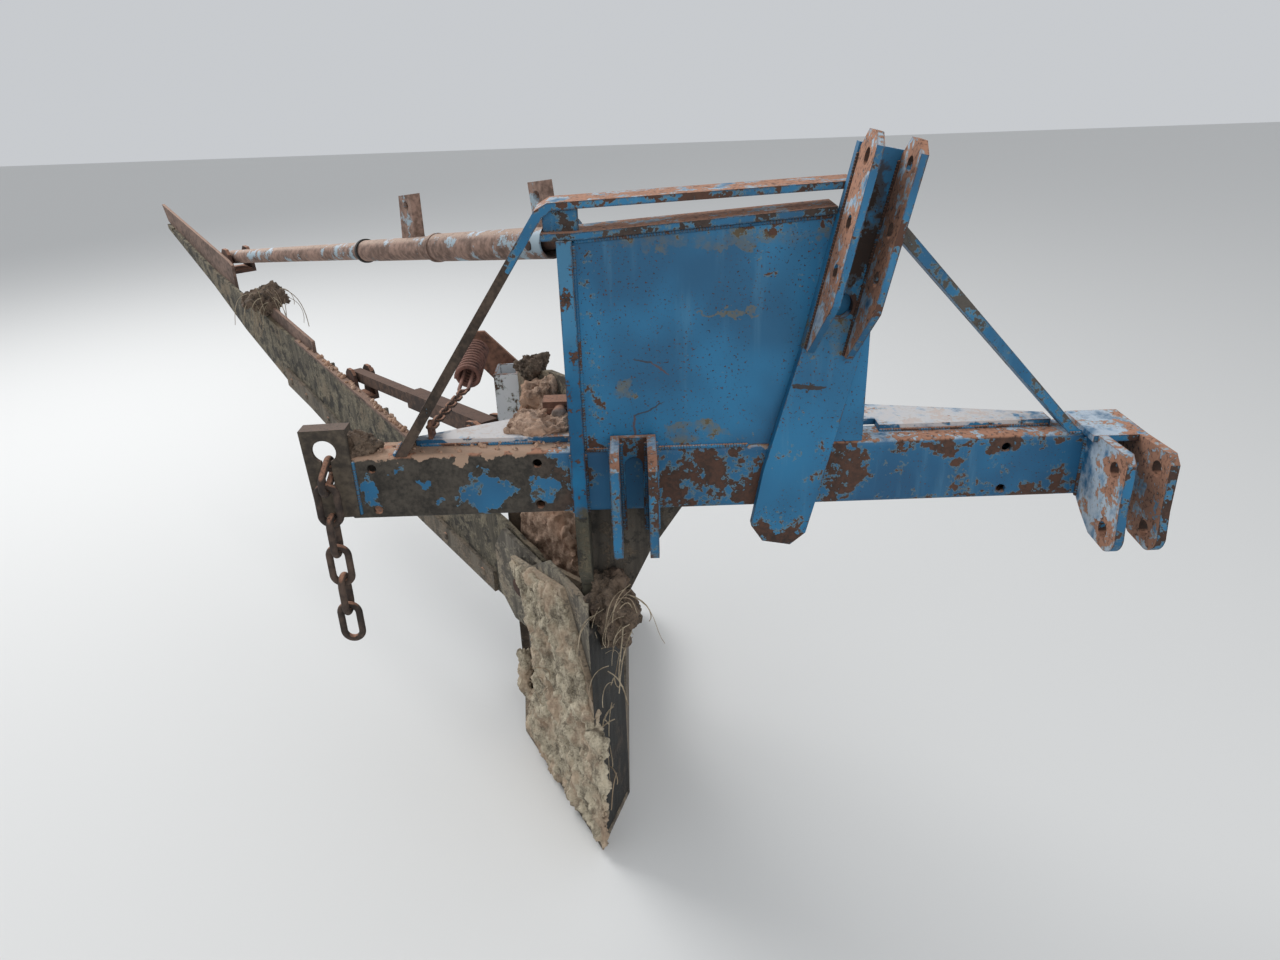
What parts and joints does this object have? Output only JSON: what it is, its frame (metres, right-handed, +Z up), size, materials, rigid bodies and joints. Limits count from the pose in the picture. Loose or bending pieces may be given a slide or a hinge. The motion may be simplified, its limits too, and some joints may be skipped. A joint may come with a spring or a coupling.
{
  "type": "ditching plough",
  "caption": "Tractor-mounted ditching plough with an offset leg, a three-point hitch, a nose and a long adjustable wing held by a telescopic strut.",
  "frame": {"origin": "on the underside of the sole, below the front face of the beam and the middle of the leg", "axes": "+X to the right along the beam seen from the tractor side, +Y to the rear, +Z up"},
  "size_m": [2.7461, 2.4326, 1.4683],
  "materials": {
    "blue_paint": "faded blue paint, chipped to rust",
    "rusty_steel": "bare rusty steel",
    "muddy_steel": "steel under dried mud",
    "black_band": "black band"
  },
  "bodies": {
    "frame": {"cross_beam": "blue_paint", "leg_plate": "blue_paint", "face_plate": "blue_paint", "face_top_bar": "blue_paint", "mast_plate": "blue_paint", "mast_lugs": "rusty_steel", "brace_left": "blue_paint", "brace_right": "blue_paint", "beam_gussets": "blue_paint", "hitch_right_lugs": "blue_paint", "hitch_right_bridge": "blue_paint", "hitch_centre_back": "blue_paint", "hitch_centre_lugs": "blue_paint", "chain_keyhole_plate": "rusty_steel", "hanging_chain": "rusty_steel", "sole_plate": "muddy_steel", "share_plate": "muddy_steel", "shin_plate": "muddy_steel", "right_cheek": "muddy_steel", "landside": "muddy_steel", "frog_webs": "muddy_steel", "knee_gusset": "muddy_steel", "front_mouldboard": "muddy_steel", "hinge_back_plate": "muddy_steel", "rear_post": "muddy_steel", "rear_webs": "muddy_steel", "clamp_stack": "rusty_steel", "spring_anchors": "rusty_steel", "tension_spring": "rusty_steel", "spring_chain": "rusty_steel", "frame_pins": "rusty_steel", "pivot_brackets": "blue_paint"},
    "wing": {"wing_blade": "muddy_steel", "wing_cutting_edge": "muddy_steel", "wing_top_flange": "muddy_steel", "wing_upper_sheets": "muddy_steel", "wing_back_ribs": "muddy_steel", "wing_pins": "rusty_steel", "wing_brackets": "rusty_steel"},
    "strut_outer": {"strut_sleeve": "blue_paint"},
    "strut_inner": {"strut_mid_tube": "blue_paint", "strut_thin_tube": "blue_paint", "strut_ring": "black_band"},
    "stay_outer": {"stay_tube": "rusty_steel"},
    "stay_inner": {"stay_bar": "rusty_steel"}
  },
  "joints": [
    {"name": "wing_lift", "type": "hinge", "parent": "frame", "child": "wing", "pos_m": [-0.16186, 0.37773, 0.43], "axis": [0.766, 0.6428, 0], "range_deg": [-16, 4]},
    {"name": "strut_tilt", "type": "hinge", "parent": "frame", "child": "strut_outer", "pos_m": [-0.07244, 0.36139, 1.236], "axis": [0.766, 0.6428, 0], "range_deg": [-13.83, 3.5]},
    {"name": "strut_extend", "type": "slide", "parent": "strut_outer", "child": "strut_inner", "axis": [-0.6354, 0.7572, -0.1517], "range_m": [-0.05372, 0.21186]},
    {"name": "stay_tilt", "type": "hinge", "parent": "frame", "child": "stay_outer", "pos_m": [-0.26458, 0.57482, 0.757], "axis": [0.766, 0.6428, 0], "range_deg": [-19.07, 4.8]},
    {"name": "stay_extend", "type": "slide", "parent": "stay_outer", "child": "stay_inner", "axis": [-0.642, 0.7651, -0.0502], "range_m": [-0.02647, 0.10289]}
  ],
  "couplings": [
    {"joint": "strut_tilt", "follows": "wing_lift", "ratio": 0.86131},
    {"joint": "strut_extend", "follows": "wing_lift", "m_per_rad": -0.7551},
    {"joint": "stay_tilt", "follows": "wing_lift", "ratio": 1.1888},
    {"joint": "stay_extend", "follows": "wing_lift", "m_per_rad": -0.36487}
  ]
}
